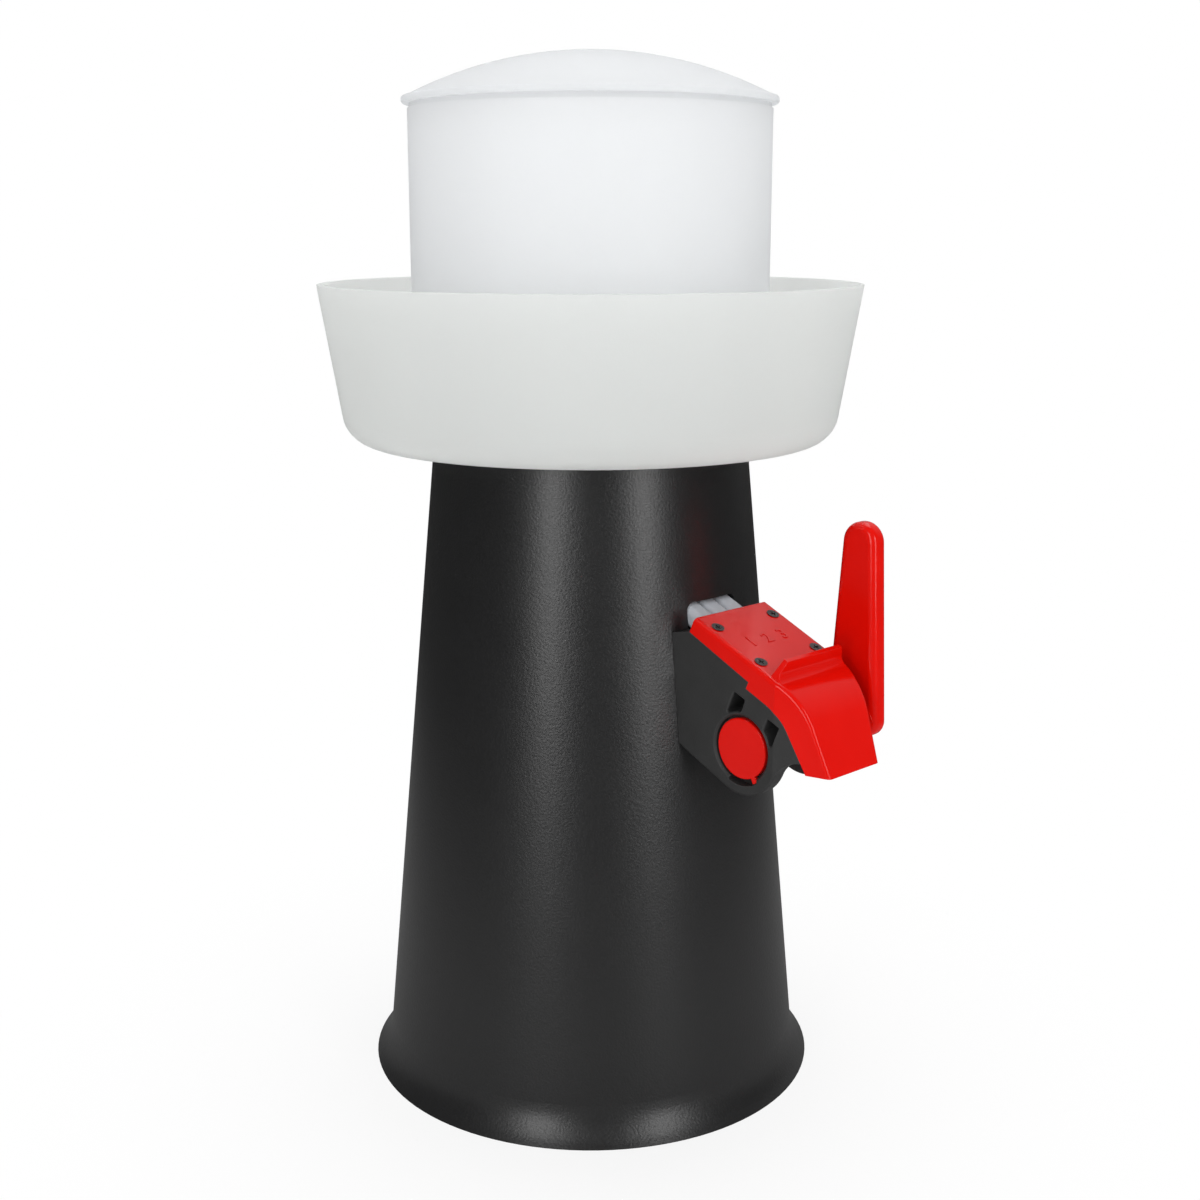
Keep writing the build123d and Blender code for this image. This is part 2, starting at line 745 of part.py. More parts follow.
# Tap cover with its fin and spout
with BuildPart() as tap_cover:
    with BuildSketch(slope):
        with BuildLine():
            Line((0, 0), (plate_length, 0))
            CenterArc(bend_centre, spout_radius, 90, -spout_angle)
            Polyline(
                on_bend(spout_radius, spout_angle),
                past_bend(spout_radius, spout_angle, spout_run),
                past_bend(tongue_radius, spout_inner_angle, spout_run),
                tongue_bend,
            )
            CenterArc(bend_centre, tongue_radius, 90 - spout_inner_angle, spout_inner_angle)
            Polyline(
                (plate_length, -spout_depth),
                (skirt_step, -spout_depth),
                (skirt_step, -skirt_front),
                (0, -skirt_back),
                (0, 0),
            )
        make_face()
    extrude(amount=tap_half, both=True)
    with BuildSketch():
        cut_taper(tap_half)
    extrude(amount=plate_back_height, mode=Mode.SUBTRACT)

    def skin_depth(point):
        """How deep a point lies below the outer skin of plate, bend and spout."""
        local = slope.to_local_coords(point)
        out = local.X - plate_length
        up = local.Y + spout_radius
        turn = min(max(atan2(out, up), 0), radians(spout_angle))
        return spout_radius - out * sin(turn) - up * cos(turn)

    def is_long_edge(edge):
        run = abs(slope.to_local_coords(edge @ 0).X - slope.to_local_coords(edge @ 1).X)
        return max(skin_depth(edge @ 0), skin_depth(edge @ 1)) < thread_clearance < run

    fillet(tap_cover.edges().filter_by(is_long_edge), cover_edge_round)
    split(bisect_by=Plane.XY.offset(plate_back_height - spout_drop))
    with BuildSketch(slope):
        with BuildLine():
            fin_end = fin_place + fin_tip / 2
            fin_foot = fin_end + fin_blend
            fin_sag = sqrt(spout_radius**2 - (fin_foot - plate_length) ** 2) - spout_radius
            Polyline(
                (fin_place - fin_root / 2, -plate_thickness / 2),
                (fin_place - fin_root / 2, 0),
                (fin_place - fin_tip / 2, fin_height),
                (fin_end, fin_height),
                (fin_end, fin_blend),
            )
            TangentArc((fin_end, fin_blend), (fin_foot, fin_sag), tangent=(0, -1))
            Polyline(
                (fin_foot, fin_sag),
                (fin_foot, -plate_thickness / 2),
                (fin_place - fin_root / 2, -plate_thickness / 2),
            )
        make_face()
    extrude(amount=fin_foot_half_width, both=True)
    with BuildSketch(across_slope(0, fin_place, 0)):
        fin_cut = fin_foot_half_width + overrun
        for way in (-1, 1):
            Polygon(
                (way * fin_foot_half_width, 0),
                (way * fin_cut, 0),
                (way * fin_cut, fin_height),
                (way * fin_tip_half_width, fin_height),
                align=None,
            )
    extrude(amount=fin_root + fin_blend, both=True, mode=Mode.SUBTRACT)
    add(hose_channel.part, mode=Mode.SUBTRACT)
    cover_screw_spots = [
        (way * cover_screw_half_pitch, place)
        for way in (-1, 1)
        for place in (cover_screw_back, cover_screw_front)
    ]
    with Locations(plate_top.offset(cover_screw_proud)):
        with Locations(*cover_screw_spots):
            CounterSinkHole(
                m3_radius + stem_clearance,
                m3_head_radius + thread_clearance,
                m3_length,
                counter_sink_angle=sink_angle,
            )
tap_cover.part.label = "tap_cover"
export_step(tap_cover.part, "parts/tap_cover.step")

# Cover screws
with BuildPart() as cover_screws:
    with Locations(plate_top.offset(cover_screw_proud)):
        with Locations(*cover_screw_spots):
            add(cover_screw)
cover_screws.part.label = "cover_screws"
export_step(cover_screws.part, "parts/cover_screws.step")


def make_cone(offset_out):
    """The column's straight taper as a full body, grown or shrunk by the given amount."""
    with BuildPart() as cone:
        with BuildSketch(Plane.XZ):
            with BuildLine():
                Polyline(
                    (0, flare_height),
                    (column_radius(flare_height) + offset_out, flare_height),
                    (column_radius(column_height) + offset_out, column_height),
                    (0, column_height),
                    close=True,
                )
            make_face()
        revolve(axis=Axis.Z)
    return cone.part


column_outside = make_cone(body_seat_gap)
column_inside = make_cone(-column_wall - body_seat_gap)

# Tap body: side walls, boss for the shaft, guide for the pinch bar and tongue under the spout
cam_spot = (cam_place, -cam_depth)
body_back = column_radius(body_bottom)
rear_reach = sqrt(body_back**2 - tap_half**2) - cam_reach
rear_drop = body_bottom - cam_height
tangent_angle = atan2(rear_drop, rear_reach) + acos(boss_radius / sqrt(rear_reach**2 + rear_drop**2))
saddle_top = tap_screw_high + saddle_margin
saddle_bottom = tap_screw_low - saddle_margin
saddle_edge = sqrt((column_radius(saddle_top) - column_wall) ** 2 - saddle_half_width**2)
saddle_face = saddle_edge - saddle_thickness
tap_screw_tip = saddle_face - m4_pan_height + tap_screw_length
with BuildPart() as tap_body:
    with BuildSketch(slope):
        with BuildLine():
            Polyline(
                from_side(column_top_radius, body_top),
                (0, -skirt_back),
                (skirt_step, -skirt_front),
                (skirt_step, -spout_depth),
                (plate_length, -spout_depth),
            )
            CenterArc(bend_centre, tongue_radius, 90, -spout_inner_angle)
            tongue_tip = past_bend(tongue_radius, spout_inner_angle, tongue_run)
            boss_front = (cam_place + boss_radius, -cam_depth)
            Line(tongue_bend, tongue_tip)
            TangentArc(boss_front, tongue_tip, tangent=(0, 1))
            Polyline(
                boss_front,
                cam_spot,
                from_side(
                    cam_reach + boss_radius * cos(tangent_angle),
                    cam_height + boss_radius * sin(tangent_angle),
                ),
                from_side(cam_reach + rear_reach, body_bottom),
                from_side(column_top_radius, body_bottom),
                from_side(column_top_radius, body_top),
            )
        make_face()
        with Locations(cam_spot):
            Circle(boss_radius)
    extrude(amount=tap_half, both=True)
    side_rims = tap_body.edges().group_by(Axis.X)
    fillet([edge for edge in side_rims[0] + side_rims[-1] if (edge @ 0.5).Z < cam_height], body_round)
    add(column_outside, mode=Mode.SUBTRACT)
    with BuildSketch():
        cut_taper(tap_half)
    extrude(amount=plate_back_height, mode=Mode.SUBTRACT)
    add(hose_channel.part, mode=Mode.SUBTRACT)
    guide_bottom = bar_shoulder + bar_stroke + contact_gap
    with BuildSketch(slope):
        with Locations((cam_place, -(skirt_back + guide_bottom) / 2)):
            Rectangle(bar_thickness + 2 * slide_clearance, guide_bottom - skirt_back)
    extrude(amount=channel_half, both=True, mode=Mode.SUBTRACT)
    with BuildSketch(slope):
        with Locations((cam_place, -(skirt_back + cam_depth) / 2)):
            Rectangle(bar_thickness + 2 * slide_clearance, cam_depth - skirt_back)
    extrude(amount=bar_foot_half + slide_clearance, both=True, mode=Mode.SUBTRACT)
    with BuildSketch(slope):
        with Locations(cam_spot):
            Circle(shaft_radius + running_clearance)
    extrude(amount=tap_width, both=True, mode=Mode.SUBTRACT)
    with BuildSketch(slope.offset(tap_half)):
        with Locations(cam_spot):
            Circle(bore_mouth_radius)
    extrude(amount=-bore_mouth_depth, mode=Mode.SUBTRACT)

    def is_mouth_rim(edge):
        return edge.geom_type == GeomType.CIRCLE and abs(edge.radius - bore_mouth_radius) < thread_clearance

    chamfer(tap_body.edges().filter_by(is_mouth_rim).sort_by(Axis.X)[0], bore_mouth_bevel)
    with BuildSketch(side.offset(tap_half)):
        with BuildLine():
            notch_radius = stop_radius + stop_clearance
            notch_span = lever_travel + 2 * (stop_half_angle + stop_play_angle)
            notch_end = stop_rest_angle + stop_half_angle + stop_play_angle - 90
            notch = CenterArc((cam_reach, cam_height), notch_radius, notch_end, -notch_span)
            Polyline(notch @ 1, (cam_reach, cam_height), notch @ 0)
        make_face()
    extrude(amount=-stop_well, mode=Mode.SUBTRACT)
    core_end = cam_reach - boss_radius
    with BuildSketch(side):
        with Locations(((core_end + column_top_radius) / 2, body_bottom + core_wall + core_height / 2)):
            Rectangle(core_end - column_top_radius, core_height)
    extrude(amount=channel_half, both=True, mode=Mode.SUBTRACT)
    under_end = cam_reach + 2 * boss_radius
    with BuildSketch(side):
        with Locations(((cam_reach - under_back + under_end) / 2, cam_height - boss_radius)):
            Rectangle(under_end - cam_reach + under_back, 2 * boss_radius)
    extrude(amount=tap_half - under_wall, both=True, mode=Mode.SUBTRACT)
    pocket_middle = (pocket_near + pocket_far) / 2
    pocket_level = -(pocket_top + pocket_bottom) / 2
    for face, inward in ((tap_half, -pocket_depth), (-tap_half, pocket_depth)):
        with BuildSketch(slope.offset(face)) as pockets:
            with Locations((cam_place, pocket_level)):
                with GridLocations(2 * pocket_middle, 0, 2, 1):
                    Rectangle(pocket_far - pocket_near, pocket_bottom - pocket_top)
            with Locations(cam_spot):
                Circle(pocket_rim, mode=Mode.SUBTRACT)
            fillet(pockets.vertices(), pocket_round)
        extrude(amount=inward, mode=Mode.SUBTRACT)

    def is_pocket_rim(edge):
        middle = edge @ 0.5
        local = slope.to_local_coords(middle)
        out = hypot(local.X - cam_place, local.Y + cam_depth) - pocket_rim
        on_side = abs(abs(middle.X) - tap_half) < thread_clearance
        level = -pocket_bottom < local.Y < thread_clearance - pocket_top
        beside = abs(local.X - cam_place) < pocket_far + thread_clearance
        return on_side and level and beside and out > -thread_clearance

    chamfer(tap_body.edges().filter_by(is_pocket_rim), pocket_bevel)
    with BuildSketch(Plane.XZ):
        with Locations((0, (tap_screw_low + tap_screw_high) / 2)):
            with GridLocations(2 * tap_screw_half_pitch, tap_screw_high - tap_screw_low, 2, 2):
                Circle(m4_radius + thread_clearance)
    extrude(amount=tap_screw_tip + overrun, mode=Mode.SUBTRACT)
    with BuildSketch(plate_top.offset(cover_screw_proud)):
        with Locations(*cover_screw_spots):
            Circle(m3_radius + thread_clearance)
    extrude(amount=-m3_length - overrun, mode=Mode.SUBTRACT)
tap_body.part.label = "tap_body"
export_step(tap_body.part, "parts/tap_body.step")

# Saddle inside the column, behind the tap
with BuildPart() as tap_saddle:
    with BuildSketch(Plane.XZ.offset(saddle_face)):
        with Locations((0, (saddle_bottom + saddle_top) / 2)):
            Rectangle(2 * saddle_half_width, saddle_top - saddle_bottom)
    extrude(amount=foot_radius - saddle_face)
    add(column_inside, mode=Mode.INTERSECT)
    with BuildSketch(Plane.XZ):
        with Locations((0, (tap_screw_low + tap_screw_high) / 2)):
            with GridLocations(2 * tap_screw_half_pitch, tap_screw_high - tap_screw_low, 2, 2):
                Circle(m4_radius + hole_clearance)
    extrude(amount=foot_radius, mode=Mode.SUBTRACT)
tap_saddle.part.label = "tap_saddle"
export_step(tap_saddle.part, "parts/tap_saddle.step")

# Screws through saddle and column into the tap body
with BuildPart() as tap_screws:
    head_plane = Plane(
        origin=(0, m4_pan_height - saddle_face, (tap_screw_low + tap_screw_high) / 2),
        x_dir=(1, 0, 0),
        z_dir=(0, 1, 0),
    )
    with Locations(head_plane):
        with GridLocations(2 * tap_screw_half_pitch, tap_screw_high - tap_screw_low, 2, 2):
            add(tap_screw)
tap_screws.part.label = "tap_screws"
export_step(tap_screws.part, "parts/tap_screws.step")

# Pinch bar
with BuildPart() as pinch_bar:
    with BuildSketch(slope):
        with Locations((cam_place, -(bar_top + bar_shoulder) / 2)):
            Rectangle(bar_thickness, bar_shoulder - bar_top)
    extrude(amount=bar_half, both=True)
    with BuildSketch(slope):
        with Locations((cam_place, -(bar_shoulder + bar_bottom) / 2)):
            Rectangle(bar_thickness, bar_bottom - bar_shoulder)
    extrude(amount=bar_foot_half, both=True)
    nose_edges = pinch_bar.edges().filter_by(Axis.X).sort_by(Axis(slope.origin, slope.y_dir))[-2:]
    fillet(nose_edges, bar_nose)
pinch_bar.part.label = "pinch_bar"
export_step(pinch_bar.part, "parts/pinch_bar.step")


def cam_point(angle):
    """A point of the cam's involute flank, which lifts the bar evenly with the turn."""
    lift = cam_rest - cam_rate * angle
    return (
        cam_place - lift * sin(angle) + cam_rate * cos(angle),
        lift * cos(angle) + cam_rate * sin(angle) - cam_depth,
    )


# Cam shaft: end disc with its stop lug, cam, far journal and square tang
cam_half = bar_foot_half + cam_end_gap
disc_face = tap_half - disc_recess
journal_end = tap_half + lever_gap / 2
lever_near = tap_half + lever_standoff
lever_far = lever_near + lever_thickness
tang_end = lever_far - tang_setback
with BuildPart() as cam_shaft:
    with BuildSketch(slope.offset(disc_face)):
        with Locations(cam_spot):
            Circle(shaft_radius)
    extrude(amount=cam_half - disc_face)
    fillet(cam_shaft.edges().group_by(Axis.X)[0], disc_round)
    with BuildSketch(slope.offset(cam_half)):
        with BuildLine():
            travel = radians(lever_travel)
            flank_points = [cam_point(travel * step / involute_steps) for step in range(involute_steps + 1)]
            flank = Spline(*flank_points)
            flat_lift = cam_rest - cam_rate * travel
            flat_run = sqrt(shaft_radius**2 - flat_lift**2)
            flat_tip = (
                cam_place - flat_lift * sin(travel) - flat_run * cos(travel),
                flat_lift * cos(travel) - flat_run * sin(travel) - cam_depth,
            )
            Line(flank @ 1, flat_tip)
            heel = (
                cam_place + cam_heel * sin(radians(plate_angle)),
                -cam_heel * cos(radians(plate_angle)) - cam_depth,
            )
            ThreePointArc(flat_tip, heel, flank @ 0)
        make_face()
    extrude(amount=-2 * cam_half)
    with BuildSketch(slope.offset(-cam_half)):
        with Locations(cam_spot):
            Circle(shaft_radius)
    extrude(amount=cam_half - journal_end)
    with BuildSketch(side.offset(-journal_end)):
        with Locations((cam_reach, cam_height)):
            Rectangle(tang_side, tang_side)
    extrude(amount=journal_end - tang_end)
    with BuildSketch(side.offset(disc_face)):
        with BuildLine():
            lug_start = stop_rest_angle - stop_half_angle - 90
            lug = CenterArc((cam_reach, cam_height), stop_radius, lug_start, 2 * stop_half_angle)
            Polyline(lug @ 1, (cam_reach, cam_height), lug @ 0)
        make_face()
    extrude(amount=-stop_thickness)
    with BuildSketch(side.offset(-tang_end)):
        with Locations((cam_reach, cam_height)):
            Circle(m4_radius + thread_clearance)
    extrude(amount=lever_screw_length, mode=Mode.SUBTRACT)
cam_shaft.part.label = "cam_shaft"
export_step(cam_shaft.part, "parts/cam_shaft.step")

# Lever: a flat upright paddle on a hub
with BuildPart() as lever:
    with BuildSketch(side.offset(-lever_near)) as paddle:
        with Locations((cam_reach + lever_lean, cam_height + lever_length - lever_top_radius)):
            Circle(lever_top_radius)
        with Locations((cam_reach + lever_heel_reach, cam_height + lever_heel_height)):
            Circle(lever_heel_radius)
        with Locations((cam_reach + lever_root_reach, cam_height + lever_heel_height)):
            Circle(lever_root_radius)
        make_hull()
        with Locations((cam_reach, cam_height)):
            Circle(lever_hub_radius)

        def is_neck(vertex):
            spread = hypot(vertex.X - cam_reach, vertex.Y - cam_height)
            return abs(spread - lever_hub_radius) < thread_clearance

        fillet(paddle.vertices().filter_by(is_neck), lever_neck_round)
    extrude(amount=-lever_thickness)
    rims = lever.edges().group_by(Axis.X)
    fillet(rims[0] + rims[-1], lever_round)
    with BuildSketch(side.offset(-lever_near - lever_round)):
        with Locations((cam_reach, cam_height)):
            Circle(lever_hub_radius)
    extrude(amount=lever_standoff + lever_round - lever_gap)
    wedge_plane = Plane(
        origin=cam_centre,
        x_dir=(0, -cos(radians(wedge_angle)), sin(radians(wedge_angle))),
        z_dir=(0, sin(radians(wedge_angle)), cos(radians(wedge_angle))),
    )
    with BuildSketch(wedge_plane):
        Polygon(
            (0, tap_half + lever_gap),
            (lever_hub_radius, tap_half + lever_gap),
            (wedge_reach, lever_near),
            (wedge_reach - lever_round, lever_near + lever_round),
            (0, lever_near + lever_round),
            align=None,
        )
    extrude(amount=wedge_half_width, both=True)
    with BuildSketch(side.offset(-tap_half - lever_gap)):
        with Locations((cam_reach, cam_height)):
            Rectangle(tang_side + 2 * tang_clearance, tang_side + 2 * tang_clearance)
    extrude(amount=tap_half + lever_gap - tang_end, mode=Mode.SUBTRACT)
    with BuildSketch(side.offset(-lever_far)):
        with Locations((cam_reach, cam_height)):
            Circle(m4_head_radius + hole_clearance)
    extrude(amount=m4_pan_height + head_sink, mode=Mode.SUBTRACT)
    with BuildSketch(side.offset(-lever_far)):
        with Locations((cam_reach, cam_height)):
            Circle(m4_radius + hole_clearance)
    extrude(amount=lever_thickness, mode=Mode.SUBTRACT)
lever.part.label = "lever"
export_step(lever.part, "parts/lever.step")

# Screw that holds the lever on the tang
with BuildPart() as lever_screw:
    screw_head = (lever_far - head_sink, cam_centre.Y, cam_centre.Z)
    with Locations(Plane(origin=screw_head, x_dir=(0, 1, 0), z_dir=(1, 0, 0))):
        add(lever_bolt)
lever_screw.part.label = "lever_screw"
export_step(lever_screw.part, "parts/lever_screw.step")
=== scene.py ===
from math import cos, radians, sin

import bpy
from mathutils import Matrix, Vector


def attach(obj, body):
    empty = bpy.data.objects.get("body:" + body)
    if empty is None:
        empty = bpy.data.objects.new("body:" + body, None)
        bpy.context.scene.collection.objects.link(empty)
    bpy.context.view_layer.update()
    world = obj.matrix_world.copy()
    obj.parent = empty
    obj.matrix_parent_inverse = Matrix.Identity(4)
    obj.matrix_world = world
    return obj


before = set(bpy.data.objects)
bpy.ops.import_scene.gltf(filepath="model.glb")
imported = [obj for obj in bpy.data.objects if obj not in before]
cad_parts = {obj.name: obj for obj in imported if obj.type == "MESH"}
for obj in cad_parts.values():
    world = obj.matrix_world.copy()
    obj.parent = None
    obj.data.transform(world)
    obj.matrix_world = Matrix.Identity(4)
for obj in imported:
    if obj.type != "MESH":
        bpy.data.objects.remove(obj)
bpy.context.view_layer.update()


# Foot pad, tank gasket and outlet seals: soft black rubber, die-cut from sheet.
# The pad is glued under the base cover, and the rings are clamped below tank and outlets.
# The skin is dull, faintly mottled and a little dusty.
class Feed:
    """A value that varies over a surface. Sums with it add the Math nodes that work them out."""

    def __init__(self, look, socket):
        self.look = look
        self.socket = socket

    def join(self, operation, left, right):
        return self.look.node("Math", {"operation": operation}, {0: left, 1: right})

    def __add__(self, other):
        return self.join("ADD", self, other)

    def __radd__(self, other):
        return self.join("ADD", other, self)

    def __sub__(self, other):
        return self.join("SUBTRACT", self, other)

    def __rsub__(self, other):
        return self.join("SUBTRACT", other, self)

    def __mul__(self, other):
        return self.join("MULTIPLY", self, other)

    def __rmul__(self, other):
        return self.join("MULTIPLY", other, self)


class Look:
    """The nodes of a material or of the room."""

    def __init__(self, owner, shader, output):
        owner.use_nodes = True
        self.tree = owner.node_tree
        self.shader = self.tree.nodes[shader]
        self.output = self.tree.nodes[output]

    def node(self, kind, settings=None, sockets=None, out=0):
        """Adds a node: its settings first, then the values or links of its sockets."""
        made = self.tree.nodes.new("ShaderNode" + kind)
        for name, value in (settings or {}).items():
            setattr(made, name, value)
        for socket, value in (sockets or {}).items():
            if isinstance(value, Feed):
                self.tree.links.new(value.socket, made.inputs[socket])
            else:
                made.inputs[socket].default_value = value
        return Feed(self, made.outputs[out])

    def feed(self, socket, value):
        self.tree.links.new(value.socket, self.shader.inputs[socket])

    def cover(self, value):
        """Puts another shader in the place of the first one."""
        self.tree.links.new(value.socket, self.output.inputs["Surface"])


class Finish(Look):
    """A surface finish: a material, the constants of its shader and the nodes that vary it."""

    def __init__(self, name, constants):
        self.material = bpy.data.materials.new(name)
        super().__init__(self.material, "Principled BSDF", "Material Output")
        self.skin = Feed(self, self.shader.outputs[0])
        for socket, value in constants.items():
            self.shader.inputs[socket].default_value = value

    def place(self, stretch=(1, 1, 1)):
        """The place on the piece, in metres, with its axes stretched."""
        spot = self.node("TexCoord", out="Object")
        return self.node("Mapping", {}, {"Vector": spot, "Scale": stretch})

    def grain(self, size, detail=2.0, stretch=(1, 1, 1)):
        """Uneven grain from 0 to 1, with grains of about the given size in metres."""
        sockets = {"Vector": self.place(stretch), "Scale": 1 / size, "Detail": detail}
        return self.node("TexNoise", {}, sockets, out="Fac")

    def tint(self, amount, dark, light):
        """Colours the surface between a dark and a light tone."""
        dark_input, light_input, colour_output = 6, 7, 2
        sockets = {"Factor": amount, dark_input: (*dark, 1), light_input: (*light, 1)}
        tone = self.node("Mix", {"data_type": "RGBA"}, sockets, out=colour_output)
        self.feed("Base Color", tone)

    def rounded(self, radius):
        """The surface's direction, as if its edges had a radius in metres."""
        return self.node("Bevel", {"samples": 8}, {"Radius": radius})

    def bump(self, height, depth, edge=0.0):
        """Raises the surface by a height from 0 to 1 times a depth, and rounds its edges."""
        sockets = {"Height": height, "Distance": depth}
        if edge:
            sockets["Normal"] = self.rounded(edge)
        self.feed("Normal", self.node("Bump", {}, sockets))

    # Edge mask, used to paint a highlight and a little real wear along edges.
    def edge_highlight_and_wear_mask(self, reach):
        """0 on the flat, and up to 1 within a reach in metres of an edge."""
        contrast = 6
        sides = {0: self.rounded(reach), 1: self.node("NewGeometry", out="Normal")}
        level = self.node("VectorMath", {"operation": "DOT_PRODUCT"}, sides, out="Value")
        return self.node("Clamp", {}, {"Value": contrast - contrast * level})

    def on(self, *nodes):
        for name in nodes:
            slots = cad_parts[name].data.materials
            slots.clear()
            slots.append(self.material)


rubber = Finish("black_rubber", {"Specular IOR Level": 0.3})
mottle = rubber.grain(size=0.004)
pores = rubber.grain(size=0.0008)
rubber.tint(mottle, dark=(0.012, 0.012, 0.012), light=(0.03, 0.03, 0.03))
rubber.feed("Roughness", 0.7 + 0.2 * mottle)
rubber.bump(pores, depth=0.0001)
rubber.on("foot_pad", "tank_gasket", "outlet_seals")


# Column and base cover: moulded black plastic with a fine spark-eroded grain.
# The cover's posts are screwed to the ledge inside the column's flared foot.
black_grain = Finish("column_black", {"Specular IOR Level": 1.0})
spark = black_grain.grain(size=0.0011)
cloud = black_grain.grain(size=0.03)
pits = 0.3 * cloud + 0.7 * spark
black_grain.tint(pits, dark=(0.004, 0.004, 0.0043), light=(0.011, 0.011, 0.0115))
black_grain.feed("Roughness", 0.27 + 0.12 * spark + 0.04 * cloud)
black_grain.bump(spark, depth=0.00009)
black_grain.on("column_shell", "base_cover")


# Base and tap screws, hose clips and the saddle: plain zinc-plated steel, turned or pressed.
# They sit inside the column and hold the foot, the hoses and the tap.
steel = Finish("plain_steel", {"Metallic": 1.0})
brushed = steel.grain(size=0.0006, stretch=(1, 1, 0.05))
steel.tint(brushed, dark=(0.42, 0.42, 0.43), light=(0.6, 0.6, 0.61))
steel.feed("Roughness", 0.25 + 0.2 * brushed)
steel.on("base_screws", "tap_screws", "tap_saddle", "hose_clips")


# Bowl: blow-moulded natural polypropylene, frosted and translucent, open at the top.
# It sits on the column, and its wall glows softly where light comes through.
def frosted(name, thin, thick, clear, milk):
    """Frosted plastic: a satin skin over a milky body that lets light through as a blur."""
    finish = Finish(name, {"Specular IOR Level": 0.4, "Transmission Weight": clear, "IOR": 1.2})
    flow = finish.grain(size=0.05, stretch=(1, 1, 0.3))
    frost = finish.grain(size=0.0007, detail=3.0)
    finish.tint(flow, dark=thick, light=thin)
    finish.feed("Roughness", 0.34 + 0.08 * frost + 0.06 * flow)
    finish.bump(frost, depth=0.00004)
    glow = finish.node("BsdfTranslucent", {}, {"Color": (*thin, 1)})
    finish.cover(finish.node("MixShader", {}, {0: milk, 1: finish.skin, 2: glow}))
    return finish


bowl_frost = frosted(
    "frosted_bowl", thin=(0.87, 0.88, 0.87), thick=(0.84, 0.85, 0.84), clear=0.6, milk=0.3
)
bowl_frost.on("bowl")


# Tank and its vanes: the same plastic in a whiter, milkier batch.
# The neck goes through the bowl's floor to the ring nut, and the vanes part three chambers.
tank_frost = frosted(
    "frosted_tank", thin=(0.94, 0.95, 0.96), thick=(0.91, 0.92, 0.93), clear=0.2, milk=0.25
)
tank_frost.on("tank_shell", "tank_divider")


# Lid: a thin domed moulding of the same plastic, with a stepped rim.
# It rests on the tank's edge and lifts straight off.
lid_frost = frosted(
    "frosted_lid", thin=(0.9, 0.91, 0.92), thick=(0.87, 0.88, 0.89), clear=0.4, milk=0.25
)
lid_frost.on("lid")


# Tap body, pinch bar, outlets and all nuts: glass-filled black nylon, moulded and left matte.
# The body carries the shaft and is pulled against the column by the screws in its back.
# Its edges are painted paler, partly as a painted highlight along their rounding and partly as
# real pale edge wear, and they are a little smoother.
nylon = Finish("black_nylon", {"Specular IOR Level": 0.4})
flecks = nylon.grain(size=0.0009, detail=4.0)
bloom = nylon.grain(size=0.012)
# Paler edges: mostly a painted highlight along the rounded edges, with a little real edge wear.
edge_highlight_and_wear = nylon.edge_highlight_and_wear_mask(reach=0.0006)
paler = 0.3 * bloom + 0.7 * edge_highlight_and_wear
nylon.tint(paler, dark=(0.026, 0.026, 0.026), light=(0.06, 0.06, 0.06))
nylon.feed("Roughness", 0.42 + 0.12 * flecks - 0.1 * edge_highlight_and_wear)
nylon.bump(flecks, depth=0.00008, edge=0.0005)
nylon.on("tap_body", "pinch_bar", "outlet_1", "outlet_2", "outlet_3", "outlet_nuts", "tank_nut")


# Hoses: extruded grey silicone tube, clear enough to show the light through its wall.
# They are pushed on to the outlets and run side by side under the tap's cover.
silicone = Finish(
    "grey_silicone",
    {"Transmission Weight": 0.1, "IOR": 1.41, "Specular IOR Level": 0.5},
)
haze = silicone.grain(size=0.02)
silicone.tint(haze, dark=(0.45, 0.47, 0.51), light=(0.53, 0.55, 0.59))
silicone.feed("Roughness", 0.28 + 0.12 * haze)
silicone.on("hose_1", "hose_2", "hose_3")


# Tap cover, lever and shaft: red moulded plastic, polished in the mould.
# The cover is screwed on the body, and the lever sits on the shaft's square end.
red = Finish("polished_red", {"Specular IOR Level": 0.4})
sink = red.grain(size=0.02)
peel = red.grain(size=0.0015)
red.tint(sink, dark=(0.61, 0.003, 0.0005), light=(0.67, 0.004, 0.001))
red.feed("Roughness", 0.1 + 0.05 * sink + 0.03 * peel)
red.bump(peel, depth=0.00002, edge=0.0004)
red.on("tap_cover", "lever", "cam_shaft")


# Lane numbers: low raised figures on the cover's plate, moulded with it, one above each hose.
# They stand upright for someone in front of the spout.
plate_lean = radians(23.2)
plate_edge = Vector((0, -0.08758, 0.2319))
down_plate = Vector((0, -cos(plate_lean), -sin(plate_lean)))
figure_height = 0.009
figure_place = 0.025
figure_depth = 0.0002
lane_pitch = 0.0099
for lane, figure in enumerate("123", start=-1):
    relief = bpy.data.curves.new("lane_" + figure, "FONT")
    relief.body = figure
    relief.size = figure_height
    relief.align_x = "CENTER"
    relief.extrude = figure_depth
    relief.bevel_depth = figure_depth / 2
    relief.materials.append(red.material)
    mark = bpy.data.objects.new("lane_" + figure, relief)
    mark.location = plate_edge + figure_place * down_plate + Vector((lane * lane_pitch, 0, 0))
    mark.rotation_euler = (plate_lean, 0, 0)
    bpy.context.scene.collection.objects.link(mark)
    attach(mark, "stand")


# Cover and lever screws: steel with black oxide and cross recesses.
# Four hold the cover on the tap body and one the lever, and the heads are rubbed a little thin.
oxide = Finish("black_oxide", {"Metallic": 0.7})
rub = oxide.grain(size=0.0008)
oxide.tint(rub, dark=(0.05, 0.048, 0.048), light=(0.12, 0.115, 0.112))
oxide.feed("Roughness", 0.35 + 0.2 * rub)
oxide.on("cover_screws", "lever_screw")


# Floor: one wide sheet of white card that the tower stands on.
# For the camera it is washed with light, less so near the foot, where the shadow stays.
# The tower's gloss mirrors a duller sheet that darkens away from the foot.
def ray(look, kind):
    """1 for rays of one kind, and 0 for all others."""
    return look.node("LightPath", out="Is " + kind + " Ray")


